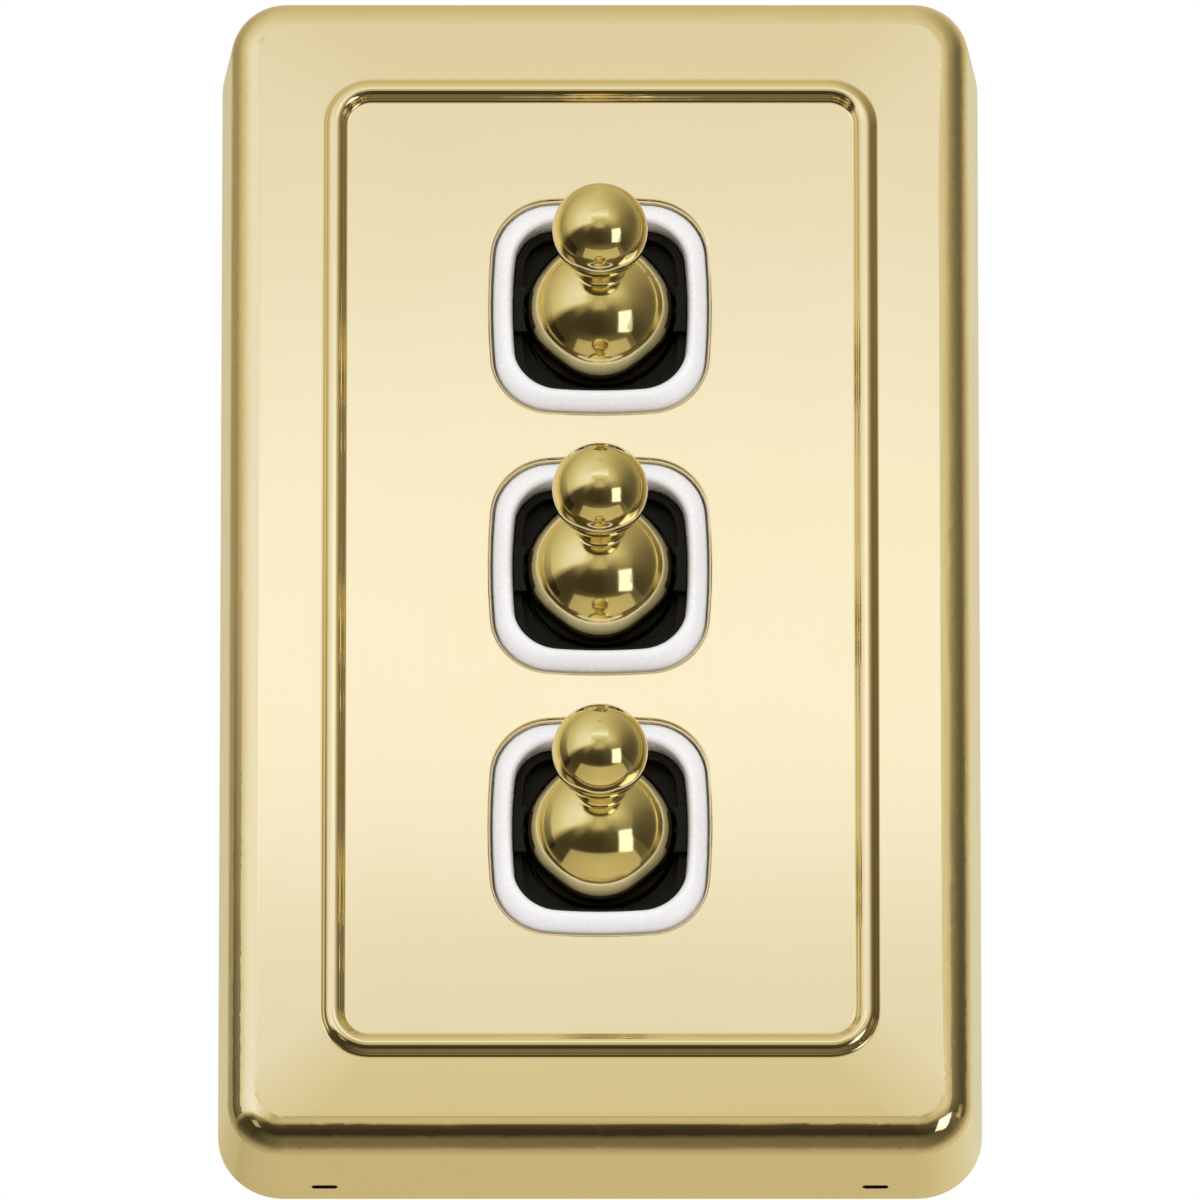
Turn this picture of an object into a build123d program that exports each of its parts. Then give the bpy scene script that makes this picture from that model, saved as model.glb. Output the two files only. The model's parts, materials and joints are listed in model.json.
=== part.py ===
# Toggle light switch with three ball-ended dollies and a clip-on brass cover plate.
# Sizes are in millimetres and angles in degrees. Each piece is drawn with the wall as the XY plane:
# x to the right, y up the wall and z out of it. hang() then turns it to face -Y with +Z up.
from build123d import *
import os
from math import atan, cos, degrees, radians, sin, sqrt

# Cover plate, one brass pressing
plate_width = 70.0
plate_height = 115.0
plate_depth = 12.0  # from the wall to the flat of the face
plate_sheet = 1.2
plate_corner = 6.0  # plan radius at the rim
plate_draft = 1.2  # how far each side leans in between rim and face
plate_edge = 3.0  # rounding between side and face
border_fall = 0.3  # how far the border falls away from the bead to the edge
bead_inset = 9.3  # from the rim to the bead's outer foot
bead_width = 2.5
bead_height = 0.9
bead_corner = 4.6
bead_foot = 0.4  # hollow round where the bead meets the flat of the face
opening_round = 0.35  # front edge of the three openings
notch_width = 2.4  # lever-off slots in the bottom side
notch_height = 0.7
notch_lift = 2.5
notch_offset = 25.2
rib_length = 9.0  # snap ribs inside the two long sides
rib_height = 1.0

# Mounting base, screwed to the wall and hidden by the cover
base_thick = 3.0
base_gap = 0.4  # to the inside of the cover
base_rim = 1.6
base_rim_lift = 1.3
window_gap = 0.3  # round the three mechanisms
fixing_span = 84.0
fixing_boss = 8.4
fixing_boss_lift = 1.0
tongue_thick = 1.3
tongue_width = 8.0
tongue_offset = 30.0
tongue_tip = 1.9
hook_size = 0.6
snap_gap = 0.2

# Fixing screws
fixing_thread = 3.5
fixing_shoulder = 3.9
fixing_hole_gap = 0.15
fixing_reach = 22.0  # how far the thread stands out behind the wall plane
fixing_head = 6.2
fixing_head_height = 2.2

# Places of the three mechanisms, which share out the room between the fixing screws
gang_names = ("upper", "middle", "lower")
gang_margin = 4.4  # from a fixing screw's axis to the nearest case

# White case with its bezel
case_width = 26.0
case_gap = 1.6  # between neighbouring cases
case_wall = 1.6
case_front = 2.0
case_corner = 1.2
case_cover_gap = 0.2
bezel_width = 19.7
bezel_height = 20.6
bezel_bow = 0.7
bezel_corner = 5.3
bezel_proud = 0.6
bezel_gap = 0.2  # between bezel and cover
bezel_outer_round = 0.55
bezel_inner_round = 0.35
well_width = 16.1
well_height = 16.6
well_bow = 0.6
well_corner = 3.6
ear_length = 5.6
ear_width = 10.0
ear_thick = 2.0

# Screws that hold the mechanisms to the mounting base
ear_screw_thread = 2.4
ear_screw_head = 4.2
ear_screw_head_height = 1.6
ear_screw_hole_gap = 0.15
ear_screw_bite = 2.5
pilot_gap = 0.03  # round their threads in the mounting base
slot_width = 0.8
slot_share = 0.45  # depth of a screw's slot as a share of its head
head_round_share = 0.45

# Black bearing insert that lines the well and carries the dolly's pin in two lugs
insert_gap = 0.1
insert_drop = 3.6  # from the bezel's crest to the floor of the well
insert_wall = 0.7
insert_wall_drop = 2.2  # from the bezel's crest to the top of the lining
lug_drop = 1.2  # from the bezel's crest to the top of the lugs
lug_width = 4.4
insert_flange = 1.2
insert_flange_margin = 0.9
ball_gap = 0.3

# Dolly: tip ball, neck, base ball and spigot turned in one piece
tip_ball = 8.8
base_ball = 13.8
dolly_reach = 11.6  # between the two ball centres
dolly_neck = 4.4
neck_round = 0.4  # hollow rounds where the neck meets the balls
dolly_tilt = 20.0  # above the wall's normal when up, below it when down
pivot_drop = 2.6  # from the bezel's crest to the pivot
ball_flat = 4.6  # from the pivot to the flat at the back of the base ball
spigot_length = 2.2
spigot_dia = 4.8
pin_dia = 2.0
pin_running_gap = 0.05
pin_seat_gap = 0.02
pin_end_gap = 0.2

# Insulating tail, spring and plunger behind the dolly
tail_dia = 7.8
tail_end_dia = 6.2
tail_web = 0.6
tail_fit = 0.02
spring_room = 3.5
spring_wire = 0.45
spring_turns = 5
spring_side_gap = 0.15
spring_end_gap = 0.05
plunger_dia = 3.8
plunger_gap = 0.1
plunger_stem = 2.2
plunger_proud = 0.1  # how far the nose's centre stands out of the tail

# Rocker contact, tipped by the plunger
rocker_tilt = 8.0
rocker_width = 6.0
rocker_sheet = 0.9
rocker_lift = 0.5  # from the tipping axis to the back of the strip
saddle_angle = 34.0  # half angle of the saddle that the plunger slides in
nose_gap = 0.1
knife_dia = 1.4
knife_gap = 0.05
contact_offset = 6.6
contact_dia = 2.6
contact_thick = 0.7
contact_gap = 0.05
wing_margin = 0.5

# Contact base with its three tunnel terminals
seam_lift = 2.0  # from the rocker's axis forward to the seam with the case
contact_base_depth = 14.0
lip_depth = 2.0
lip_wall = 1.3
lip_gap = 0.1
latch_width = 6.0
latch_size = 0.9
latch_gap = 0.15
cavity_drop = 2.6  # from the rocker's axis back to the floor under it
cavity_side = 1.5
block_width = 7.0
block_height = 5.0
block_depth = 9.0  # from the rocker's axis to the back of the terminals
block_gap = 0.1
wire_bore = 3.0
wire_drop = 5.4
wire_entry_gap = 0.3
terminal_thread = 3.0
terminal_head = 4.4
terminal_head_height = 1.6
terminal_bite = 2.2
terminal_well_gap = 0.4
terminal_fit = 0.03

# Levels and reaches that follow from the sizes above
gang_pitch = (fixing_span - 2 * gang_margin + case_gap) / len(gang_names)
crest_z = plate_depth + bezel_proud
pivot_z = crest_z - pivot_drop
floor_z = crest_z - insert_drop
lining_z = crest_z - insert_wall_drop
lug_z = crest_z - lug_drop
case_front_z = plate_depth - plate_sheet - case_cover_gap
case_inner_z = case_front_z - case_front
case_height = gang_pitch - case_gap
nose_radius = plunger_dia / 2
nose_reach = ball_flat + spigot_length + tail_web + spring_room + plunger_stem
pivot_span = nose_reach + nose_radius + nose_gap + rocker_sheet + rocker_lift
rocker_z = pivot_z - pivot_span
seam_z = rocker_z + seam_lift
contact_base_back_z = seam_z - contact_base_depth
cavity_z = rocker_z - cavity_drop
block_back_z = rocker_z - block_depth
wire_z = rocker_z - wire_drop
boss_z = base_thick + fixing_boss_lift
ear_z = base_thick + ear_thick
ear_screw_x = case_width / 2 + ear_length / 2
side_lean = plate_draft / plate_depth
draft_angle = degrees(atan(side_lean))
gang_heights = [gang_pitch * (1 - row) for row in range(len(gang_names))]

# The plunger's nose swings with the dolly and the rocker tips with it. Seen from the rocker, the nose's
# centre runs along an arc, so the saddle is that arc set back by the nose's radius and a small gap.
nose_side = -nose_reach * sin(radians(dolly_tilt))
nose_front = pivot_span - nose_reach * cos(radians(dolly_tilt))
end_side = nose_side * cos(radians(rocker_tilt)) + nose_front * sin(radians(rocker_tilt))
end_front = nose_front * cos(radians(rocker_tilt)) - nose_side * sin(radians(rocker_tilt))
nose_middle = pivot_span - nose_reach
nose_rise = end_front - nose_middle
nose_path = (end_side**2 + nose_rise**2) / (2 * nose_rise)
saddle_radius = nose_path + nose_radius + nose_gap
saddle_centre = nose_middle + nose_path
wing_front = saddle_centre - saddle_radius * cos(radians(saddle_angle))
wing_back = wing_front - rocker_sheet
wing_reach = contact_offset + contact_dia / 2 + wing_margin
contact_face = wing_back - contact_thick


def hang(piece):
    return Plane.XZ * piece


def save(name, piece):
    export_step(hang(piece), f"parts/{name}.step")


def group(solids):
    return Compound([one.solid() for one in solids])


def slab(face, low_z, high_z):
    return extrude(Pos(0, 0, low_z) * face, high_z - low_z)


def round_bar(dia, low_z, high_z):
    return slab(Circle(dia / 2), low_z, high_z)


def cross_bar(dia, length, y, z):
    return Pos(0, y, z) * Rot(0, 90, 0) * Cylinder(dia / 2, length)


# A near-square with gently bowed sides and round corners
def bowed_square(width, height, bow, corner):
    out_x = width / 2
    out_y = height / 2
    in_x = out_x - bow
    in_y = out_y - bow
    low = ThreePointArc((-in_x, -in_y), (0, -out_y), (in_x, -in_y))
    right = ThreePointArc((in_x, -in_y), (out_x, 0), (in_x, in_y))
    outline = make_face([Rot(0, 0, turn) * side for turn in (0, 180) for side in (low, right)])
    return fillet(outline.vertices(), corner)


# The well in the bezel, drawn in by a gap all round
def well_outline(gap):
    return bowed_square(well_width - 2 * gap, well_height - 2 * gap, well_bow, well_corner - gap)


def top_edges(piece):
    return piece.faces().sort_by(Axis.Z)[-1].edges()


# A solid with leaning sides, a rounded front edge and a border that rises to the bead, as the cover is
# outside and inside
def pressed_form(width, height, depth, corner, edge):
    sides = extrude(RectangleRounded(width, height, corner), depth - border_fall, taper=draft_angle)
    rim = sides.faces().sort_by(Axis.Z)[-1]
    panel = RectangleRounded(plate_width - 2 * bead_inset, plate_height - 2 * bead_inset, bead_corner)
    form = sides + loft([rim, Pos(0, 0, depth) * panel.face()], ruled=True)
    front_edges = form.edges().group_by(Axis.Z)[-3]  # below the panel's edges and the border's corner seams
    return fillet(front_edges, edge)


# A cutter for one of the slots at the bottom that a screwdriver lifts the cover by
def lever_slot(x, height, reach, gap):
    outline = SlotOverall(notch_width + 2 * gap, notch_height + 2 * gap)
    return Pos(x, -height / 2, notch_lift) * Rot(90, 0, 0) * extrude(outline, reach, both=True)


# Half the width of the cover's inside at a height above the wall
def inside_half(z):
    return plate_width / 2 - plate_sheet - side_lean * z


hook_z = base_thick + base_rim_lift + snap_gap + rib_height + snap_gap
tongue_top = hook_z + tongue_tip
hook_out = inside_half(hook_z) - snap_gap
tongue_out = hook_out - hook_size


# The bead's ridge: a round crest that runs into the flat of the face over a hollow foot on each side
def bead_section():
    half = bead_width / 2
    crest = (half**2 + bead_height**2) / (2 * bead_height) - bead_foot
    crest_middle = bead_height - crest
    share = crest / (crest + bead_foot)
    join_x = share * half
    join_z = crest_middle + share * (bead_foot - crest_middle)
    foot_x = half - bead_foot * sin(atan((half - join_x) / (bead_foot - join_z)) / 2)
    foot_z = bead_foot - sqrt(bead_foot**2 - (half - foot_x) ** 2)
    root_z = -plate_sheet / 2
    outline = [
        ThreePointArc((-half, 0), (-foot_x, foot_z), (-join_x, join_z)),
        ThreePointArc((-join_x, join_z), (0, bead_height), (join_x, join_z)),
        ThreePointArc((join_x, join_z), (foot_x, foot_z), (half, 0)),
        Polyline((half, 0), (half, root_z), (-half, root_z), (-half, 0)),
    ]
    return make_face(outline)


def make_bead():
    middle = bead_inset + bead_width / 2
    path = RectangleRounded(
        plate_width - 2 * middle, plate_height - 2 * middle, bead_corner - bead_width / 2
    ).face().outer_wire()
    path = Pos(0, 0, plate_depth) * path
    start = Plane(origin=path @ 0, x_dir=Vector(0, 0, 1).cross(path % 0), z_dir=path % 0)
    return sweep(start * bead_section(), path=path)


def make_cover():
    outside = pressed_form(plate_width, plate_height, plate_depth, plate_corner, plate_edge)
    inside = pressed_form(
        plate_width - 2 * plate_sheet,
        plate_height - 2 * plate_sheet,
        plate_depth - plate_sheet,
        plate_corner - plate_sheet,
        plate_edge - plate_sheet,
    )
    cover = outside - inside + make_bead()
    opening = bowed_square(
        bezel_width + 2 * bezel_gap, bezel_height + 2 * bezel_gap, bezel_bow, bezel_corner + bezel_gap
    )
    for y in gang_heights:
        cover -= Pos(0, y, 0) * slab(opening, plate_depth / 2, crest_z)
    panel = cover.faces().filter_by(Plane.XY).sort_by(Axis.Z)[-1]
    cover = fillet([edge for wire in panel.inner_wires() for edge in wire.edges()], opening_round)
    for x in (-notch_offset, notch_offset):
        cover -= lever_slot(x, plate_height, 2 * plate_sheet, 0)
    rib_middle = hook_z - snap_gap - rib_height / 2
    rib_inner = tongue_out + snap_gap
    rib_outer = inside_half(rib_middle) + plate_sheet / 2
    for x in (-1, 1):
        for y in (-tongue_offset, tongue_offset):
            rib = Box(rib_outer - rib_inner, rib_length, rib_height)
            cover += Pos(x * (rib_inner + rib_outer) / 2, y, rib_middle) * rib
    return cover


# One snap tongue on the right-hand side, standing on the base, with its hook outwards
def make_tongue():
    outline = Polyline(
        (tongue_out - tongue_thick, base_thick / 2),
        (tongue_out, base_thick / 2),
        (tongue_out, hook_z),
        (hook_out, hook_z),
        (tongue_out, tongue_top),
        (tongue_out - tongue_thick, tongue_top),
        close=True,
    )
    return extrude(Plane.XZ * make_face(outline), tongue_width / 2, both=True)


def make_mounting_base():
    width = plate_width - 2 * plate_sheet - 2 * base_gap
    height = plate_height - 2 * plate_sheet - 2 * base_gap
    corner = plate_corner - plate_sheet - base_gap
    rim_z = base_thick + base_rim_lift
    base = extrude(RectangleRounded(width, height, corner), rim_z, taper=draft_angle)
    tray = RectangleRounded(width - 2 * base_rim, height - 2 * base_rim, corner - base_rim)
    base -= slab(tray, base_thick, rim_z + base_thick)
    for y in (-fixing_span / 2, fixing_span / 2):
        base += Pos(0, y, 0) * round_bar(fixing_boss, 0, boss_z)
    window_height = gang_pitch * (len(gang_names) - 1) + case_height + 2 * window_gap
    window = RectangleRounded(case_width + 2 * window_gap, window_height, case_corner)
    base -= slab(window, -base_thick, boss_z + base_thick)
    for y in (-fixing_span / 2, fixing_span / 2):
        base -= Pos(0, y, 0) * round_bar(fixing_shoulder + 2 * fixing_hole_gap, -base_thick, 2 * boss_z)
    for y in gang_heights:
        for x in (-ear_screw_x, ear_screw_x):
            pilot = round_bar(ear_screw_thread + 2 * pilot_gap, base_thick - ear_screw_bite, ear_z)
            base -= Pos(x, y, 0) * pilot
    for x in (-notch_offset, notch_offset):
        base -= lever_slot(x, height, base_rim, base_gap)
    tongue = make_tongue()
    for y in (-tongue_offset, tongue_offset):
        base += Pos(0, y, 0) * tongue
        base += Pos(0, y, 0) * mirror(tongue, about=Plane.YZ)
    return base


# A pan-headed screw pointing along -z, with the underside of its head at z = 0
def make_screw(head, head_height, shanks):
    screw = fillet(top_edges(round_bar(head, 0, head_height)), head_height * head_round_share)
    depth = 0.0
    for dia, length in shanks:
        screw += round_bar(dia, depth - length, depth)
        depth -= length
    slot_depth = head_height * slot_share
    return screw - Pos(0, 0, head_height) * Box(head, slot_width, 2 * slot_depth)


def make_fixing_screws():
    screw = make_screw(
        fixing_head, fixing_head_height, [(fixing_shoulder, boss_z), (fixing_thread, fixing_reach)]
    )
    return group([Pos(0, y, boss_z) * screw for y in (-fixing_span / 2, fixing_span / 2)])


def make_mechanism_screws():
    screw = make_screw(
        ear_screw_head, ear_screw_head_height, [(ear_screw_thread, ear_thick + ear_screw_bite)]
    )
    return group([Pos(x, y, ear_z) * screw for y in gang_heights for x in (-ear_screw_x, ear_screw_x)])


def make_case():
    outer = RectangleRounded(case_width, case_height, case_corner)
    inner = Rectangle(case_width - 2 * case_wall, case_height - 2 * case_wall)
    case = slab(outer, seam_z, case_front_z) - slab(inner, seam_z, case_inner_z)
    bezel = slab(bowed_square(bezel_width, bezel_height, bezel_bow, bezel_corner), case_inner_z, crest_z)
    bezel = fillet(top_edges(bezel), bezel_outer_round)
    case += bezel
    case -= slab(well_outline(0), case_inner_z, crest_z)
    lip = case.faces().sort_by(Axis.Z)[-1].inner_wires()[0].edges()
    case = fillet(lip, bezel_inner_round)
    ear = RectangleRounded(case_width + 2 * ear_length, ear_width, case_corner)
    case += slab(ear, base_thick, ear_z) - slab(inner, base_thick, ear_z)
    for x in (-ear_screw_x, ear_screw_x):
        hole = round_bar(ear_screw_thread + 2 * ear_screw_hole_gap, 0, 2 * ear_z)
        case -= Pos(x, 0, 0) * hole
    window = Box(2 * case_width, latch_width + 2 * latch_gap, latch_size + 2 * latch_gap)
    return case - Pos(0, 0, seam_z + lip_depth / 2) * window


def make_bearing_insert():
    outside = well_outline(insert_gap)
    inside = well_outline(insert_gap + insert_wall)
    flange = well_outline(-insert_flange_margin)
    lugs = outside & Rectangle(well_width, lug_width)
    insert = slab(outside, case_inner_z, lining_z) + slab(flange, case_inner_z - insert_flange, case_inner_z)
    insert -= slab(inside, floor_z, crest_z)
    insert += slab(lugs, floor_z, lug_z)
    insert -= Pos(0, 0, pivot_z) * Sphere(base_ball / 2 + ball_gap)
    return insert - cross_bar(pin_dia + 2 * pin_seat_gap, 2 * well_width, 0, pivot_z)


def make_pivot_pin():
    return cross_bar(pin_dia, well_width - 2 * insert_gap - 2 * pin_end_gap, 0, pivot_z)


# Turns a profile of radius and distance from the pivot, positive towards the tip, about the dolly's axis
def turned(profile):
    return revolve(Plane.XZ * make_face(profile), Axis.Z)


# Leans a piece drawn along z to the dolly's place with the toggle up
def up_place(piece):
    return Pos(0, 0, pivot_z) * Rot(-dolly_tilt, 0, 0) * piece


def make_dolly():
    tip = tip_ball / 2
    ball = base_ball / 2
    neck = dolly_neck / 2
    spigot = spigot_dia / 2
    top = dolly_reach + tip
    neck_high = dolly_reach - sqrt(tip**2 - neck**2)
    neck_low = sqrt(ball**2 - neck**2)
    flat = sqrt(ball**2 - ball_flat**2)
    spigot_end = -ball_flat - spigot_length
    profile = [
        ThreePointArc((0, top), (tip, dolly_reach), (neck, neck_high)),
        Line((neck, neck_high), (neck, neck_low)),
        ThreePointArc((neck, neck_low), (ball, 0), (flat, -ball_flat)),
        Polyline((flat, -ball_flat), (spigot, -ball_flat), (spigot, spigot_end), (0, spigot_end), (0, top)),
    ]
    dolly = turned(profile)
    neck_edges = [edge for edge in dolly.edges() if edge.is_closed and edge.center().Z > 0]
    dolly = fillet(neck_edges, neck_round)
    return up_place(dolly - cross_bar(pin_dia + 2 * pin_running_gap, 2 * base_ball, 0, 0))


def make_tail():
    root = tail_dia / 2
    end = tail_end_dia / 2
    socket = spigot_dia / 2 + tail_fit
    bore = nose_radius + plunger_gap
    socket_end = -ball_flat - spigot_length - tail_fit
    bore_start = -ball_flat - spigot_length - tail_web
    tail_end = plunger_proud - nose_reach
    profile = Polyline(
        (socket, -ball_flat),
        (root, -ball_flat),
        (root, bore_start),
        (end, tail_end),
        (bore, tail_end),
        (bore, bore_start),
        (0, bore_start),
        (0, socket_end),
        (socket, socket_end),
        close=True,
    )
    return up_place(turned(profile))


def make_spring():
    radius = nose_radius + plunger_gap - spring_side_gap - spring_wire / 2
    height = spring_room - spring_wire - 2 * spring_end_gap
    coil = Helix(pitch=height / spring_turns, height=height, radius=radius)
    wire = Plane(origin=coil @ 0, z_dir=coil % 0) * Circle(spring_wire / 2)
    spring = sweep(wire, path=coil, is_frenet=True)
    low_end = plunger_stem - nose_reach + spring_end_gap + spring_wire / 2
    return up_place(Pos(0, 0, low_end) * spring)


def make_plunger():
    stem_top = plunger_stem - nose_reach
    nose_end = -nose_reach - nose_radius
    profile = [
        Polyline((0, nose_end), (0, stem_top), (nose_radius, stem_top), (nose_radius, -nose_reach)),
        RadiusArc((nose_radius, -nose_reach), (0, nose_end), nose_radius),
    ]
    return up_place(turned(profile))


# Tips a piece drawn about the rocker's axis to one side: 1 as it is with the toggle up, -1 with it down
def tipped(piece, side):
    return Pos(0, 0, rocker_z) * Rot(side * rocker_tilt, 0, 0) * piece


def make_rocker():
    outer = saddle_radius + rocker_sheet
    front_side = saddle_radius * sin(radians(saddle_angle))
    back_side = sqrt(outer**2 - (saddle_centre - wing_back) ** 2)
    saddle_low = saddle_centre - saddle_radius
    profile = [
        ThreePointArc((-front_side, wing_front), (0, saddle_low), (front_side, wing_front)),
        Polyline(
            (front_side, wing_front),
            (wing_reach, wing_front),
            (wing_reach, wing_back),
            (back_side, wing_back),
        ),
        ThreePointArc((back_side, wing_back), (0, saddle_centre - outer), (-back_side, wing_back)),
        Polyline(
            (-back_side, wing_back),
            (-wing_reach, wing_back),
            (-wing_reach, wing_front),
            (-front_side, wing_front),
        ),
    ]
    strip = extrude(Plane.YZ * make_face(profile), rocker_width / 2, both=True)
    strip -= cross_bar(knife_dia + 2 * knife_gap, 2 * rocker_width, 0, 0)
    return tipped(strip, 1)


def make_moving_contacts():
    button = round_bar(contact_dia, contact_face, wing_back)
    return group([tipped(Pos(0, y, 0) * button, 1) for y in (-contact_offset, contact_offset)])


# side is 1 for the lower contact, closed with the toggle up, and -1 for the upper one
def make_fixed_contact(side):
    high = contact_face - contact_gap
    button = round_bar(contact_dia, high - contact_thick, high)
    return tipped(Pos(0, -side * contact_offset, 0) * button, side)


# Height of the middle of the closed contacts above the rocker's axis, which the terminals line up with
terminal_offset = contact_offset * cos(radians(rocker_tilt)) + contact_face * sin(radians(rocker_tilt))


def make_block(y, front_z):
    block = slab(Rectangle(block_width, block_height), block_back_z, front_z)
    block -= cross_bar(wire_bore, 2 * block_width, 0, wire_z)
    block -= round_bar(terminal_thread + 2 * terminal_fit, block_back_z, wire_z)
    return Pos(0, y, 0) * block


# A terminal whose front face leans to meet its contact square on
def make_line_terminal(side):
    lean_cut = Box(2 * block_width, 4 * block_height, 2 * block_depth)
    cut_z = contact_face - contact_gap - contact_thick + block_depth
    block = make_block(-side * terminal_offset, seam_z)
    return block - tipped(Pos(0, -side * contact_offset, cut_z) * lean_cut, side)


# The middle terminal carries the round-topped knife that the rocker tips on
def make_common_terminal():
    block = make_block(0, cavity_z)
    pillar = slab(Rectangle(rocker_width, knife_dia), cavity_z - block_height / 2, rocker_z)
    pillar -= cross_bar(wire_bore, 2 * block_width, 0, wire_z)
    return block + pillar + cross_bar(knife_dia, rocker_width, 0, rocker_z)


terminal_heights = (terminal_offset, 0.0, -terminal_offset)


def make_terminal_screws():
    screw = make_screw(terminal_head, terminal_head_height, [(terminal_thread, terminal_bite)])
    return group([Pos(0, y, block_back_z) * Rot(180, 0, 0) * screw for y in terminal_heights])


def make_contact_base():
    outer = RectangleRounded(case_width, case_height, case_corner)
    base = slab(outer, contact_base_back_z, seam_z)
    back_edges = base.faces().sort_by(Axis.Z)[0].edges()
    base = chamfer(back_edges, case_corner / 2)
    lip_width = case_width - 2 * case_wall - 2 * lip_gap
    lip_height = case_height - 2 * case_wall - 2 * lip_gap
    base += slab(Rectangle(lip_width, lip_height), seam_z, seam_z + lip_depth)
    latch = Box(lip_width + 2 * latch_size, latch_width, latch_size)
    base += Pos(0, 0, seam_z + lip_depth / 2) * latch
    base -= slab(Rectangle(lip_width - 2 * lip_wall, case_height), seam_z, seam_z + 2 * lip_depth)
    cavity = Rectangle(max(rocker_width, block_width) + 2 * cavity_side, 2 * wing_reach + 2 * cavity_side)
    base -= slab(cavity, cavity_z, seam_z + lip_depth)
    for y in terminal_heights:
        pocket = Rectangle(block_width + 2 * block_gap, block_height + 2 * block_gap)
        base -= Pos(0, y, 0) * slab(pocket, block_back_z, cavity_z)
        well = round_bar(terminal_head + 2 * terminal_well_gap, contact_base_back_z, block_back_z)
        base -= Pos(0, y, 0) * well
        base -= cross_bar(wire_bore + 2 * wire_entry_gap, 2 * case_width, y, wire_z)
    return base


def make_mechanism(name, y):
    pieces = {
        "case": make_case(),
        "contact_base": make_contact_base(),
        "bearing_insert": make_bearing_insert(),
        "pivot_pin": make_pivot_pin(),
        "dolly": make_dolly(),
        "dolly_tail": make_tail(),
        "dolly_spring": make_spring(),
        "plunger": make_plunger(),
        "rocker_contact": make_rocker(),
        "moving_contacts": make_moving_contacts(),
        "fixed_contacts": group([make_fixed_contact(1), make_fixed_contact(-1)]),
        "common_terminal": make_common_terminal(),
        "up_terminal": make_line_terminal(1),
        "down_terminal": make_line_terminal(-1),
        "terminal_screws": make_terminal_screws(),
    }
    for piece, solid in pieces.items():
        save(f"{name}_{piece}", Pos(0, y, 0) * solid)


os.makedirs("parts", exist_ok=True)
save("cover_plate", make_cover())
save("mounting_base", make_mounting_base())
save("fixing_screws", make_fixing_screws())
save("mechanism_screws", make_mechanism_screws())
for name, y in zip(gang_names, gang_heights):
    make_mechanism(name, y)
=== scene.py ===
import json
from math import cos, pi, radians, sin

import bmesh
import bpy
from mathutils import Matrix, Vector


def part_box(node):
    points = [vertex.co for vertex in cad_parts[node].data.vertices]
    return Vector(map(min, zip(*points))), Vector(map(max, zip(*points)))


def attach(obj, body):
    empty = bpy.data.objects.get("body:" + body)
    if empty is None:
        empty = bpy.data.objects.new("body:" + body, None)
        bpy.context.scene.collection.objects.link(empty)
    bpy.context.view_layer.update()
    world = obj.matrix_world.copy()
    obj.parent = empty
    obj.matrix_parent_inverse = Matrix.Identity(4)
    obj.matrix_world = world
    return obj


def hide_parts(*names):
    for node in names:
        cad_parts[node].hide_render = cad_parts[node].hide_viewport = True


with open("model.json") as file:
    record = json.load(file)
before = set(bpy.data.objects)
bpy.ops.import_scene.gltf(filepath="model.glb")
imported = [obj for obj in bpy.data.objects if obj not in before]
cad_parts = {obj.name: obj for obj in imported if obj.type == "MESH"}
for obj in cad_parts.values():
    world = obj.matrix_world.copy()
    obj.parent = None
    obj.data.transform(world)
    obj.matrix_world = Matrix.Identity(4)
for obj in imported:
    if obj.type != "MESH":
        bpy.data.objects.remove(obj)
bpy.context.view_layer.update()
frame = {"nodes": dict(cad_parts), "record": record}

mm = 0.001
gangs = ("upper", "middle", "lower")
joinGap = 1e-6  # metres: vertices nearer than this are one
sharpAngle = 35  # degrees: edges that turn more stay crisp
noiseSpan = {"From Min": 0.3, "From Max": 0.7}  # most values of a noise texture lie in it
plainWhite = (1, 1, 1, 1)


# sRGB hex text to the linear colour that the shader sockets take
def toLinear(hexText):
    channels = [int(hexText[i:i + 2], 16) / 255 for i in (1, 3, 5)]
    return [c / 12.92 if c <= 0.04045 else ((c + 0.055) / 1.055) ** 2.4 for c in channels] + [1.0]


# one node with its settings, its socket values and the links that come into it
def addNode(tree, kind, values={}, links={}, **settings):
    node = tree.nodes.new(kind)
    for name, value in settings.items():
        setattr(node, name, value)
    for socket, value in values.items():
        node.inputs[socket].default_value = value
    for socket, source in links.items():
        tree.links.new(source, node.inputs[socket])
    return node


def newMaterial(name):
    material = bpy.data.materials.new(name)
    material.use_nodes = True
    material.node_tree.nodes.clear()
    return material, material.node_tree


def finishMaterial(tree, shader):
    addNode(tree, "ShaderNodeOutputMaterial", links={"Surface": shader.outputs[0]})


# noise cell size in millimetres to the Scale socket, for Object coordinates in metres
def perMetre(sizeMm):
    return 1 / (sizeMm * mm)


# Polished brass sheet, buffed on a mop and lacquered: a pale gold near mirror with a faint waviness, hairlines along
# the buffing direction and a slightly uneven tone. Sizes and depths are millimetres.
plateBrass = {
    "tone": ("#F8EBC8", "#F5E6BF"),
    "toneSize": 22.0,
    "hairSize": (0.3, 0.3, 12.0),  # drawn coarser than real buffing lines, so that they show
    "wavySize": 7.0,
    "rough": (0.06, 0.085),
    "wavyDepth": 0.002,
    "hairDepth": 0.00015,
}
# Turned brass bar, polished on the lathe: a deeper gold and a softer mirror, with fine rings round the dolly
dollyBrass = {
    "tone": ("#F3E7B2", "#ECDDA2"),
    "toneSize": 6.0,
    "hairSize": (4.0, 0.25, 0.25),  # drawn coarser than real tool marks, so that they show
    "wavySize": 2.5,
    "rough": (0.09, 0.13),
    "wavyDepth": 0.002,
    "hairDepth": 0.0002,
}


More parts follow.
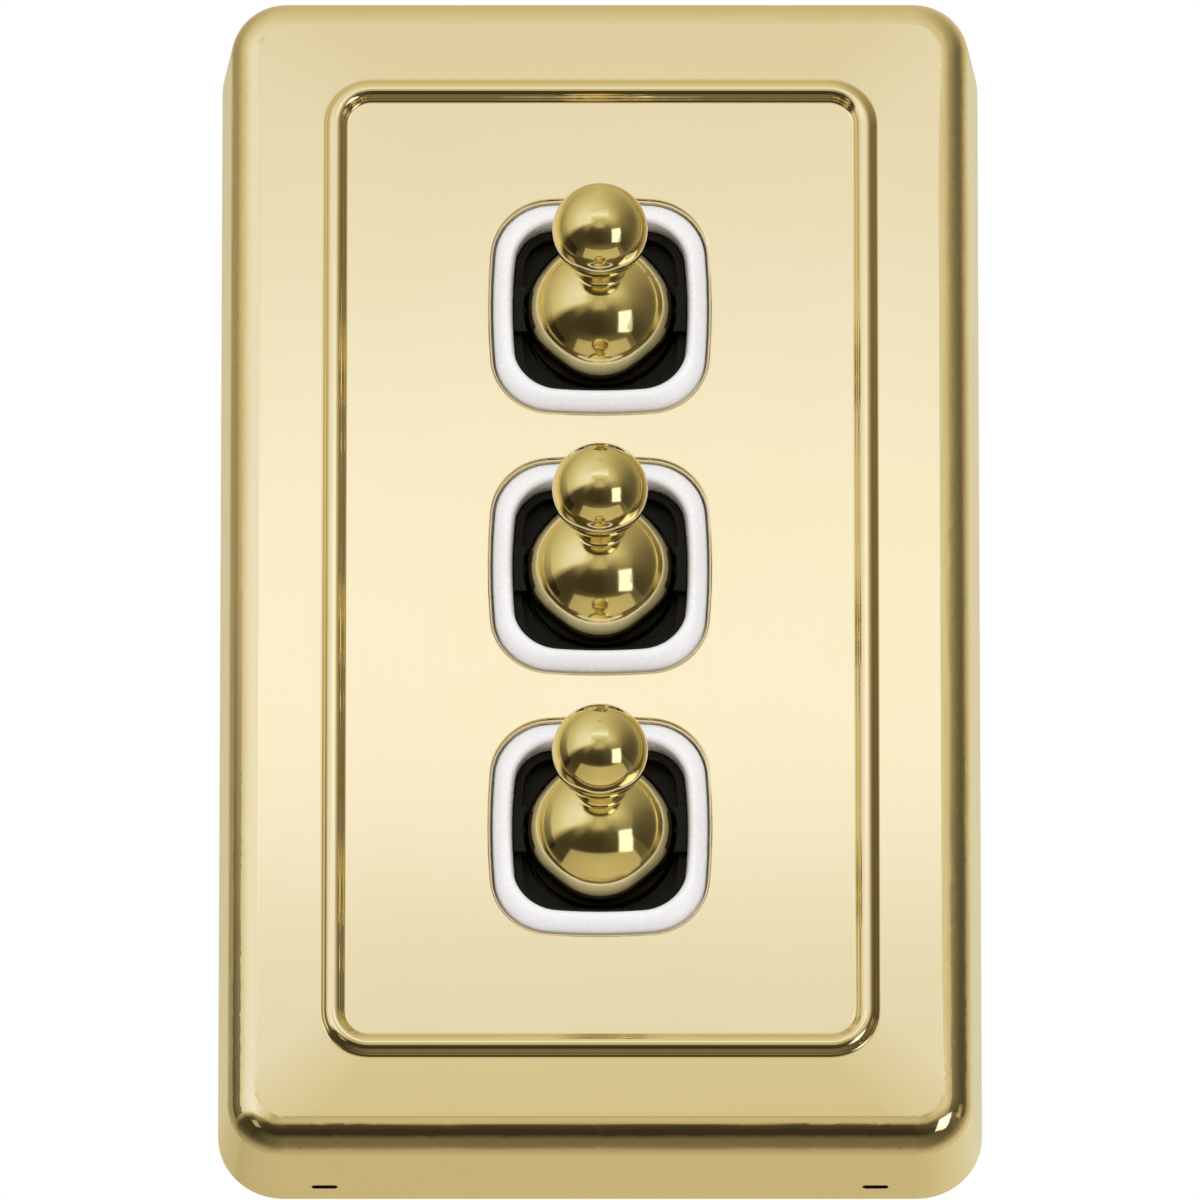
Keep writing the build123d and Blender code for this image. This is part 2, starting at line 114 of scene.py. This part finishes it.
def makePolishedBrass(name, look):
    material, tree = newMaterial(name)
    place = addNode(tree, "ShaderNodeTexCoord").outputs["Object"]
    tone = addNode(tree, "ShaderNodeTexNoise", {"Scale": perMetre(look["toneSize"]), "Detail": 2.0}, {"Vector": place})
    hairPlace = addNode(
        tree, "ShaderNodeMapping", {"Scale": [perMetre(s) for s in look["hairSize"]]}, {"Vector": place}
    )
    hair = addNode(tree, "ShaderNodeTexNoise", {"Scale": 1.0, "Detail": 3.0}, {"Vector": hairPlace.outputs[0]})
    wavy = addNode(tree, "ShaderNodeTexNoise", {"Scale": perMetre(look["wavySize"])}, {"Vector": place})
    colour = addNode(
        tree, "ShaderNodeMixRGB", {"Color1": toLinear(look["tone"][0]), "Color2": toLinear(look["tone"][1])},
        {"Fac": tone.outputs["Fac"]},
    )
    rough = addNode(
        tree, "ShaderNodeMapRange", {**noiseSpan, "To Min": look["rough"][0], "To Max": look["rough"][1]},
        {"Value": hair.outputs["Fac"]},
    )
    wave = addNode(
        tree, "ShaderNodeBump", {"Strength": 1.0, "Distance": look["wavyDepth"] * mm}, {"Height": wavy.outputs["Fac"]}
    )
    scratch = addNode(
        tree, "ShaderNodeBump", {"Strength": 1.0, "Distance": look["hairDepth"] * mm},
        {"Height": hair.outputs["Fac"], "Normal": wave.outputs[0]},
    )
    shader = addNode(
        tree, "ShaderNodeBsdfPrincipled", {"Metallic": 1.0},
        {"Base Color": colour.outputs[0], "Roughness": rough.outputs[0], "Normal": scratch.outputs[0]},
    )
    finishMaterial(tree, shader)
    return material


# a moulded or plain surface: two tones in soft clouds, a roughness range and a fine grain, which is drawn coarser than
# the real one so that it shows
def makeGrained(name, tones, cloudMm, grainMm, grainDepthMm, rough, **shading):
    material, tree = newMaterial(name)
    place = addNode(tree, "ShaderNodeTexCoord").outputs["Object"]
    cloud = addNode(tree, "ShaderNodeTexNoise", {"Scale": perMetre(cloudMm), "Detail": 3.0}, {"Vector": place})
    grain = addNode(tree, "ShaderNodeTexNoise", {"Scale": perMetre(grainMm), "Detail": 2.0}, {"Vector": place})
    colour = addNode(
        tree, "ShaderNodeMixRGB", {"Color1": toLinear(tones[0]), "Color2": toLinear(tones[1])},
        {"Fac": cloud.outputs["Fac"]},
    )
    roughness = addNode(
        tree, "ShaderNodeMapRange", {**noiseSpan, "To Min": rough[0], "To Max": rough[1]},
        {"Value": grain.outputs["Fac"]},
    )
    bump = addNode(
        tree, "ShaderNodeBump", {"Strength": 1.0, "Distance": grainDepthMm * mm}, {"Height": grain.outputs["Fac"]}
    )
    shader = addNode(
        tree, "ShaderNodeBsdfPrincipled", shading,
        {"Base Color": colour.outputs[0], "Roughness": roughness.outputs[0], "Normal": bump.outputs[0]},
    )
    finishMaterial(tree, shader)
    return material


materials = {
    "polished_brass": makePolishedBrass("polishedBrassSheet", plateBrass),
    # urea from a polished mould: a cool, dense white with a soft gloss
    "white_plastic": makeGrained("whiteUrea", ("#F4F3F5", "#EFEEF1"), 9, 0.5, 0.0004, (0.22, 0.3), IOR=1.55),
    # polycarbonate from a spark-eroded mould: a pale grey with a dull sheen
    "base_plastic": makeGrained("greyPolycarbonate", ("#D6D5D0", "#CFCEC8"), 12, 0.25, 0.003, (0.4, 0.55), IOR=1.58),
    # filled nylon that stands the heat of the contacts: a warm off-white with a dull sheen
    "contact_plastic": makeGrained("creamNylon66", ("#DDDACF", "#D3CFC2"), 8, 0.25, 0.003, (0.38, 0.55), IOR=1.53),
    # acetal, the slippery bearing plastic: a near black that swallows the light in the wells
    "black_plastic": makeGrained("blackAcetal", ("#060505", "#090707"), 5, 0.2, 0.002, (0.5, 0.65), IOR=1.4),
    # nylon without a pigment: the yellowish white of the plain resin
    "nylon": makeGrained("naturalNylon", ("#E2DCC8", "#D6CEB6"), 5, 0.3, 0.002, (0.35, 0.5), IOR=1.53),
    # bright zinc on steel: a bluish silver with faint cloudy patches
    "plated_steel": makeGrained("zincPlatedSteel", ("#C9CCD0", "#BDBFB8"), 2, 0.15, 0.002, (0.2, 0.34), Metallic=1.0),
    # drawn wire, tempered: a darker, warmer grey than plated steel
    "spring_steel": makeGrained("springSteel", ("#8F8D88", "#7E7B76"), 1, 0.1, 0.001, (0.22, 0.36), Metallic=1.0),
    # copper strip as it leaves the press: a salmon red in two close tones
    "contact_copper": makeGrained("stampedCopper", ("#D08A66", "#BC7350"), 3, 0.2, 0.001, (0.2, 0.35), Metallic=1.0),
    # silver rivets: the palest metal here, with a faint warm cast
    "contact_silver": makeGrained("contactSilver", ("#E6E4DE", "#D6D3CB"), 1, 0.1, 0.001, (0.18, 0.3), Metallic=1.0),
    # brass bar cut on a machine and left bare: a duller, browner gold than the polished pieces
    "terminal_brass": makeGrained("machinedBrass", ("#D2B467", "#C3A252"), 3, 0.15, 0.002, (0.2, 0.34), Metallic=1.0),
}
turnedBrass = makePolishedBrass("turnedBrassBar", dollyBrass)
# steel for the pivot pins, coloured near black as painted shade so that they stay unseen in the dark wells
shadeDarkPinSteel = makeGrained("steelPaintedShade", ("#1C1B1B", "#242221"), 2, 0.15, 0.002, (0.35, 0.5), Metallic=1.0)
nodeFinishes = {"dolly": turnedBrass, "pin": shadeDarkPinSteel}  # by the last word of a node's name
for subpart in frame["record"]["subparts"]:
    node = subpart["node"]
    for slot in frame["nodes"][node].material_slots:
        slot.material = nodeFinishes.get(node.split("_")[-1], materials[subpart["material_slot"]])
print("materials:", len(materials) + len(nodeFinishes))


# a CAD node's mesh to rework, with its loose triangles joined
def copyNode(node):
    bm = bmesh.new()
    bm.from_mesh(frame["nodes"][node].data)
    bmesh.ops.remove_doubles(bm, verts=bm.verts, dist=joinGap)
    return bm


# cuts off what lies beyond a level along y, and gives the edges of the cut
def cutOff(bm, level, way):
    whole = bm.verts[:] + bm.edges[:] + bm.faces[:]
    made = bmesh.ops.bisect_plane(bm, geom=whole, plane_co=(0, level, 0), plane_no=(0, way, 0), clear_outer=True)
    return [e for e in made["geom_cut"] if isinstance(e, bmesh.types.BMEdge)]


# a finished mesh as an object in the scene
def toObject(bm, name, material):
    mesh = bpy.data.meshes.new(name)
    bm.to_mesh(mesh)
    bm.free()
    mesh.materials.append(material)
    made = bpy.data.objects.new(name, mesh)
    bpy.context.scene.collection.objects.link(made)
    return made


# a finished mesh as a piece that rides on the wall plate and stands for a CAD node
def addPiece(bm, name, node, slot):
    bmesh.ops.recalc_face_normals(bm, faces=bm.faces)
    piece = toObject(bm, name, materials[slot])
    piece.data.shade_smooth()
    piece.data.set_sharp_from_angle(angle=radians(sharpAngle))
    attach(piece, "wall_plate")
    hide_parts(node)
    print(name + ":", len(piece.data.polygons), "faces")


# White cases: the CAD case with its bezel drawn as one full round, from the outer edge up to a crest near the well
bezel = {
    "rise": 1.0,  # millimetres of the collar that are drawn anew
    # shares of the way in and of the rise
    "round": (
        (0.03, 0.12), (0.06, 0.22), (0.1, 0.33), (0.15, 0.44), (0.21, 0.55), (0.28, 0.66), (0.36, 0.76), (0.45, 0.86),
        (0.55, 0.94), (0.65, 0.985), (0.73, 1.0), (0.81, 0.96), (0.87, 0.88), (0.91, 0.78), (0.94, 0.65),
    ),
}


def makeCase(gang, look):
    node = gang + "_case"
    bm = copyNode(node)
    low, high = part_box(node)
    middle = (low.z + high.z) / 2
    rims = cutOff(bm, low.y + look["rise"] * mm, -1)
    # the cut leaves two rings: from one edge of the outer ring its neighbours are gathered all the way round
    outer = [max(rims, key=lambda e: e.verts[0].co.x)]
    for edge in outer:
        outer += [e for v in edge.verts for e in v.link_edges if e in rims and e not in outer]
    inner = [e for e in rims if e not in outer]
    reach = [max(abs(e.verts[0].co.x) for e in rim) for rim in (outer, inner)]
    rise = [max(abs(e.verts[0].co.z - middle) for e in rim) for rim in (outer, inner)]
    # each step draws the ring in a little and lifts it along the round, then the last one joins the well's rim
    ring = outer
    last = (1, 1, 0)
    for share, height in look["round"]:
        across = 1 - share * (1 - reach[1] / reach[0])
        upright = 1 - share * (1 - rise[1] / rise[0])
        verts = [
            g for g in bmesh.ops.extrude_edge_only(bm, edges=ring)["geom"] if isinstance(g, bmesh.types.BMVert)
        ]
        ring = list({e for v in verts for e in v.link_edges if e.other_vert(v) in verts})
        bmesh.ops.scale(
            bm, vec=(across / last[0], 1, upright / last[1]), verts=verts, space=Matrix.Translation((0, 0, -middle))
        )
        bmesh.ops.translate(bm, vec=(0, (last[2] - height) * look["rise"] * mm, 0), verts=verts)
        last = (across, upright, height)
    bmesh.ops.bridge_loops(bm, edges=ring + inner)
    addPiece(bm, gang + "Case", node, "white_plastic")


# Fixing screws: the head and shoulder of the CAD screws with a rolled thread behind the wall, millimetres
fixings = {
    "spacing": frame["record"]["mounts"][0]["dims"]["spacing_y_mm"],
    "pitch": 0.6,
    "major": 3.5,
    "minor": 2.76,
    "crest": 0.08,
    "root": 0.15,
    "shank": 0.8,  # plain length behind the wall plane
    "taper": 1.3,
    "tipShare": 0.6,  # share of the radius at the tip
    "steps": 20,  # round one turn
    "spareTurns": 2,  # at each end, to be cut off square
    "sliver": 0.002,  # vertices nearer than this after the cuts are joined
}


def makeFixingScrews(look):
    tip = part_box("fixing_screws")[1].y
    shank = look["shank"] * mm
    pitch = look["pitch"] * mm
    flank = (look["pitch"] - look["crest"] - look["root"]) / 2
    profile = (
        (look["minor"], 0), (look["major"], flank), (look["major"], flank + look["crest"]),
        (look["minor"], look["pitch"] - look["root"]), (look["minor"], look["pitch"]),
    )
    # one turn's profile is spun into a helix, cut off square at both ends and tapered towards the tip
    turns = int((tip - shank) / pitch) + 2 * look["spareTurns"]
    start = shank - look["spareTurns"] * pitch
    thread = bmesh.new()
    line = [thread.verts.new((across / 2 * mm, start + along * mm, 0)) for across, along in profile]
    edges = [thread.edges.new(pair) for pair in zip(line, line[1:])]
    bmesh.ops.spin(
        thread, geom=line + edges, cent=(0, 0, 0), axis=(0, 1, 0), dvec=(0, pitch / look["steps"], 0),
        angle=2 * pi * turns, steps=look["steps"] * turns,
    )
    bmesh.ops.remove_doubles(thread, verts=thread.verts, dist=joinGap)
    for level, way in ((shank, -1), (tip, 1)):
        bmesh.ops.holes_fill(thread, edges=cutOff(thread, level, way))
    bmesh.ops.remove_doubles(thread, verts=thread.verts, dist=look["sliver"] * mm)
    for v in thread.verts:
        share = max(0, v.co.y - tip + look["taper"] * mm) / (look["taper"] * mm)
        v.co.x *= 1 - share * (1 - look["tipShare"])
        v.co.z *= 1 - share * (1 - look["tipShare"])
    mesh = bpy.data.meshes.new("thread")
    thread.to_mesh(mesh)
    thread.free()
    bm = copyNode("fixing_screws")
    bmesh.ops.holes_fill(bm, edges=cutOff(bm, shank, 1))
    for height in (-look["spacing"] / 2, look["spacing"] / 2):
        before = set(bm.verts)
        bm.from_mesh(mesh)
        bmesh.ops.translate(bm, vec=(0, 0, height * mm), verts=[v for v in bm.verts if v not in before])
    bpy.data.meshes.remove(mesh)
    addPiece(bm, "fixingScrews", "fixing_screws", "plated_steel")


for gang in gangs:
    makeCase(gang, bezel)
makeFixingScrews(fixings)


# Camera: square on to the plate from a little below, with a long lens as in a catalogue picture. The lens and the
# sensor are millimetres, the height of the picture and the aim are metres.
view = {"elevation": -21.0, "lens": 1000.0, "sensor": 36.0, "frameHeight": 0.1104, "aim": (0.0, -0.006, -0.00107)}


def makeCamera(look):
    lean = radians(look["elevation"])
    back = Vector((0, -cos(lean), sin(lean)))
    data = bpy.data.cameras.new("camera")
    data.lens = look["lens"]
    data.sensor_width = look["sensor"]
    camera = bpy.data.objects.new("camera", data)
    distance = look["frameHeight"] * look["lens"] / look["sensor"]
    camera.location = Vector(look["aim"]) + back * distance
    camera.rotation_euler = (-back).to_track_quat("-Z", "Y").to_euler()
    bpy.context.scene.collection.objects.link(camera)
    bpy.context.scene.camera = camera
    print("camera:", round(distance, 2), "metres away")


makeCamera(view)


# Studio: a pale floor at its real depth under a wall switch and a soft room of light round the switch. Bare metal
# shows the room, which is bright above and to the left, dim on the right and dark round the camera. Each way is a
# turn from straight up by the right, with its (degrees from straight ahead, brightness).
downLevels = (
    (0, 0.47), (8, 0.44), (13, 0.38), (17, 0.09), (25, 0.055), (36, 0.05), (52, 0.05), (60, 0.15), (69, 0.22),
    (93, 0.25), (122, 0.48), (147, 0.605), (180, 0.68),
)
room = {
    "plainLevel": 0.6,  # for everything but mirror images
    "ways": (
        (-180, downLevels),
        (-130, (
            (0, 0.47), (15, 0.43), (21, 0.12), (30, 0.06), (40, 0.055), (85, 0.06), (105, 0.12), (130, 0.4),
            (155, 0.62), (180, 0.68),
        )),
        (-104, (
            (0, 0.47), (16, 0.5), (32, 0.4), (46, 0.1), (60, 0.06), (100, 0.07), (118, 0.14), (140, 0.4), (160, 0.62),
            (180, 0.68),
        )),
        (-93, (
            (0, 0.47), (15, 0.68), (27, 0.9), (51, 0.88), (83, 0.62), (101, 0.36), (131, 0.34), (156, 0.63),
            (180, 0.68),
        )),
        (-68, (
            (0, 0.47), (15, 0.78), (27, 0.98), (51, 0.87), (83, 0.6), (101, 0.36), (131, 0.34), (156, 0.63),
            (180, 0.68),
        )),
        (0, (
            (0, 0.47), (7, 0.58), (14, 0.68), (21, 0.74), (35, 0.76), (61, 0.7), (90, 0.65), (110, 0.6), (150, 0.66),
            (180, 0.68),
        )),
        (68, (
            (0, 0.47), (15, 0.7), (27, 0.74), (38, 0.58), (51, 0.33), (67, 0.21), (84, 0.155), (95, 0.2), (103, 0.33),
            (129, 0.68), (156, 0.78), (180, 0.68),
        )),
        (125, (
            (0, 0.47), (14, 0.4), (20, 0.17), (28, 0.12), (40, 0.1), (60, 0.1), (85, 0.14), (105, 0.25), (129, 0.6),
            (156, 0.74), (180, 0.68),
        )),
        (180, downLevels),
    ),
    # the dimmer the room, the warmer: brightness in hundredths and its tint
    "tints": (
        (0, "#FFE9B0"), (20, "#FFECB8"), (50, "#FFEFBC"), (65, "#FFF3C6"), (76, "#FFF9DA"), (82, "#FFFCF0"),
        (90, "#FFFEFA"), (100, "#FFFFFF"),
    ),
}


def fillRamp(ramp, stops):
    while len(ramp.elements) < len(stops):
        ramp.elements.new(1.0)
    for element, (position, colour) in zip(ramp.elements, stops):
        element.position = position
        element.color = colour


# stops of plain brightness
def fillLevels(ramp, stops):
    fillRamp(ramp, [(position, (level, level, level, 1)) for position, level in stops])


# the tint that goes with each brightness
def fillTints(ramp):
    fillRamp(ramp, [(hundredths / 100, toLinear(colour)) for hundredths, colour in room["tints"]])


def makeWorld(look):
    world = bpy.data.worlds.new("studio")
    bpy.context.scene.world = world
    world.use_nodes = True
    tree = world.node_tree
    tree.nodes.clear()
    way = addNode(
        tree, "ShaderNodeSeparateXYZ", links={"Vector": addNode(tree, "ShaderNodeTexCoord").outputs["Generated"]}
    )
    turn = addNode(
        tree, "ShaderNodeMath", links={0: way.outputs["X"], 1: way.outputs["Z"]}, operation="ARCTAN2"
    )
    behind = addNode(tree, "ShaderNodeMath", links={0: way.outputs["Y"]}, operation="ARCSINE")
    aside = addNode(
        tree, "ShaderNodeMapRange", {"From Min": radians(-90), "From Max": radians(90)}, {"Value": behind.outputs[0]}
    )
    total = None
    for angle, levels in look["ways"]:
        ramp = addNode(tree, "ShaderNodeValToRGB", links={"Fac": aside.outputs[0]})
        fillLevels(ramp.color_ramp, [(degrees / 180, level) for degrees, level in levels])
        if total:
            share = addNode(
                tree, "ShaderNodeMapRange", {"From Min": radians(lastAngle), "From Max": radians(angle)},
                {"Value": turn.outputs[0]},
            )
            ramp = addNode(
                tree, "ShaderNodeMixRGB",
                links={"Fac": share.outputs[0], "Color1": total.outputs[0], "Color2": ramp.outputs[0]},
            )
        total = ramp
        lastAngle = angle
    # mirror images show the room, everything else gets one plain level, and the camera sees white
    path = addNode(tree, "ShaderNodeLightPath")
    tint = addNode(tree, "ShaderNodeValToRGB", links={"Fac": total.outputs[0]})
    fillTints(tint.color_ramp)
    roomLight = addNode(
        tree, "ShaderNodeBackground", links={"Color": tint.outputs["Color"], "Strength": total.outputs[0]}
    )
    plainLight = addNode(tree, "ShaderNodeBackground", {"Color": plainWhite, "Strength": look["plainLevel"]})
    backdrop = addNode(tree, "ShaderNodeBackground", {"Color": plainWhite, "Strength": 1.0})
    lit = addNode(
        tree, "ShaderNodeMixShader",
        links={0: path.outputs["Is Glossy Ray"], 1: plainLight.outputs[0], 2: roomLight.outputs[0]},
    )
    seen = addNode(
        tree, "ShaderNodeMixShader",
        links={0: path.outputs["Is Camera Ray"], 1: lit.outputs[0], 2: backdrop.outputs[0]},
    )
    addNode(tree, "ShaderNodeOutputWorld", links={"Surface": seen.outputs[0]})


# Cards that only mirror images show: an upright soft box that the face shows, a square lamp low on the right, a low
# card for the underside of the balls, a flag on each side that darkens the plate's edges towards the bottom, and far
# soft ones for the face seen level, from the upper right and from the side.
# way and far: degrees to the right and up from straight ahead, and metres; size: metres
# fade: (millimetres, brightness), up from the middle of an upright card and out from the middle of the others
# facing: where a card looks that isn't turned to the switch; roll: degrees that it is turned in its own plane
# sheer: how much of what lies behind shows through a glowing card
# dims: a card without a glow of its own, whose fade is the share of what lies behind that shows through
# shownBy: the only nodes that show the card
cards = {
    "softBox": {
        "way": (0, 21), "far": 0.6, "size": (0.4, 0.3), "upright": True,
        "fade": (
            (-150, 0.6), (-92, 0.76), (-62, 0.83), (-46, 0.86), (-39, 0.925), (-32, 1.01), (-20, 1.068), (-8, 1.06),
            (10, 1.02), (19, 0.965), (27, 0.93), (35, 0.885), (50, 0.85), (83, 0.815), (150, 0.72),
        ),
    },
    "squareLamp": {"way": (45, -25), "far": 1.3, "size": (0.5, 0.72), "roll": -22, "fade": ((0, 1.6), (450, 1.4))},
    "lowCard": {
        "way": (17, -69), "far": 0.097, "size": (0.18, 0.067), "facing": (0, 0, 1), "sheer": 0.8,
        "fade": ((0, 0.46), (100, 0.42)),
        "shownBy": [gang + "_dolly" for gang in gangs],
    },
    "leftFlag": {
        "way": (-85, 0), "far": 0.1, "size": (0.046, 0.12), "facing": (1, 0, 0), "upright": True, "dims": True,
        "fade": ((-60, 0.28), (-25, 0.32), (-4, 0.5), (29, 0.88), (53, 1.0)),
    },
    "rightFlag": {
        "way": (66, 0), "far": 0.109, "size": (0.1, 0.12), "facing": (-1, 0, 0), "upright": True, "dims": True,
        "fade": ((-60, 0.5), (-25, 0.56), (-4, 0.7), (29, 0.94), (53, 1.0)),
    },
    "levelCard": {"way": (0, -3), "far": 2.0, "size": (0.7, 0.7), "fade": ((0, 0.62), (150, 0.6), (350, 0.5))},
    "leftCard": {
        "way": (-45, -25), "far": 2.0, "size": (0.42, 0.46), "sheer": 1.0,
        "fade": ((0, 0.46), (320, 0.4)),
        "shownBy": ["cover_plate"],
    },
    "rightCard": {
        "way": (79, -3), "far": 2.0, "size": (0.7, 0.7), "sheer": 1.0,
        "fade": ((0, 0.62), (120, 0.58), (340, 0.17)),
        "shownBy": ["cover_plate"],
    },
}


# the direction that lies so many degrees to the right and up from straight ahead
def wayTo(turn, rise):
    return Vector((
        sin(radians(turn)) * cos(radians(rise)), -cos(radians(turn)) * cos(radians(rise)), sin(radians(rise))
    ))


def makeCard(name, look):
    material, tree = newMaterial(name)
    way = wayTo(*look["way"])
    place = addNode(tree, "ShaderNodeTexCoord").outputs["Object"]
    if "upright" in look:
        rise = radians(look["way"][1])
        away = addNode(
            tree, "ShaderNodeVectorMath", {1: (0, sin(rise), cos(rise))}, {0: place}, operation="DOT_PRODUCT"
        )
    else:
        away = addNode(tree, "ShaderNodeVectorMath", {1: way * look["far"]}, {0: place}, operation="DISTANCE")
    first = look["fade"][0][0]
    last = look["fade"][-1][0]
    share = addNode(
        tree, "ShaderNodeMapRange", {"From Min": first * mm, "From Max": last * mm}, {"Value": away.outputs["Value"]}
    )
    level = addNode(tree, "ShaderNodeValToRGB", links={"Fac": share.outputs[0]})
    fillLevels(level.color_ramp, [((distance - first) / (last - first), value) for distance, value in look["fade"]])
    if "dims" in look:
        surface = addNode(tree, "ShaderNodeBsdfTransparent", links={"Color": level.outputs["Color"]})
    else:
        tint = addNode(tree, "ShaderNodeValToRGB", links={"Fac": level.outputs["Color"]})
        fillTints(tint.color_ramp)
        surface = addNode(
            tree, "ShaderNodeEmission", links={"Color": tint.outputs["Color"], "Strength": level.outputs["Color"]}
        )
    if "sheer" in look:
        clear = addNode(tree, "ShaderNodeBsdfTransparent", {"Color": [look["sheer"]] * 3 + [1]})
        surface = addNode(tree, "ShaderNodeAddShader", links={0: surface.outputs[0], 1: clear.outputs[0]})
    finishMaterial(tree, surface)
    bm = bmesh.new()
    bmesh.ops.create_grid(bm, x_segments=1, y_segments=1, size=0.5)
    bmesh.ops.scale(bm, vec=(*look["size"], 1), verts=bm.verts)
    turn = Vector(look.get("facing", -way)).to_track_quat("Z", "Y").to_matrix().to_4x4()
    turn = turn @ Matrix.Rotation(radians(look.get("roll", 0)), 4, "Z")
    bmesh.ops.transform(bm, matrix=Matrix.Translation(way * look["far"]) @ turn, verts=bm.verts)
    card = toObject(bm, name, material)
    card.visible_camera = False
    card.visible_diffuse = False
    card.visible_shadow = False
    if "shownBy" in look:
        shownBy = bpy.data.collections.new(name)
        for node in look["shownBy"]:
            shownBy.objects.link(frame["nodes"][node])
        card.light_linking.receiver_collection = shownBy


# Floor: matt paint in a warm white, with soft clouds of tone. Height and reach are metres, the rest millimetres.
floor = {
    "height": -1.2,
    "reach": 6.0,
    "tones": ("#F4F3F1", "#EFEEEC"),
    "cloud": 400,
    "grain": 20,
    "grainDepth": 0.05,
    "rough": (0.7, 0.8),
}


def makeFloor(look):
    bm = bmesh.new()
    bmesh.ops.create_grid(bm, x_segments=1, y_segments=1, size=look["reach"])
    bmesh.ops.translate(bm, vec=(0, 0, look["height"]), verts=bm.verts)
    paint = makeGrained(
        "paintedFloor", look["tones"], look["cloud"], look["grain"], look["grainDepth"], look["rough"]
    )
    piece = toObject(bm, "floor", paint)
    piece.visible_glossy = False


# Lamps for the plastic pieces: a broad one from the front, a little right, a weaker one from the left, one from above
# behind for the back, and a wide one under the switch that lights only the floor. The room above stands for them in
# mirror images. Metres and watts.
lamps = {
    "keyLamp": {"way": (18, 14), "far": 1.5, "size": 0.6, "power": 8.0},
    "fillLamp": {"way": (-38, 22), "far": 1.6, "size": 1.0, "power": 4.0},
    "backLamp": {"way": (200, 35), "far": 1.6, "size": 1.0, "power": 8.0},
    "floorLamp": {"way": (0, -90), "far": 0.5, "size": 14.0, "power": 120.0, "facing": (0, 0, -1)},
}


def makeLamp(name, look):
    data = bpy.data.lights.new(name, "AREA")
    data.shape = "SQUARE"
    data.size = look["size"]
    data.energy = look["power"]
    lamp = bpy.data.objects.new(name, data)
    way = wayTo(*look["way"])
    lamp.location = way * look["far"]
    lamp.rotation_euler = Vector(look.get("facing", -way)).to_track_quat("-Z", "Y").to_euler()
    lamp.visible_camera = False
    lamp.visible_glossy = False
    bpy.context.scene.collection.objects.link(lamp)


makeWorld(room)
makeFloor(floor)
for name, look in cards.items():
    makeCard(name, look)
for name, look in lamps.items():
    makeLamp(name, look)
print("studio: room,", len(cards), "cards,", len(lamps), "lamps")

bpy.context.scene.view_settings.view_transform = "Standard"
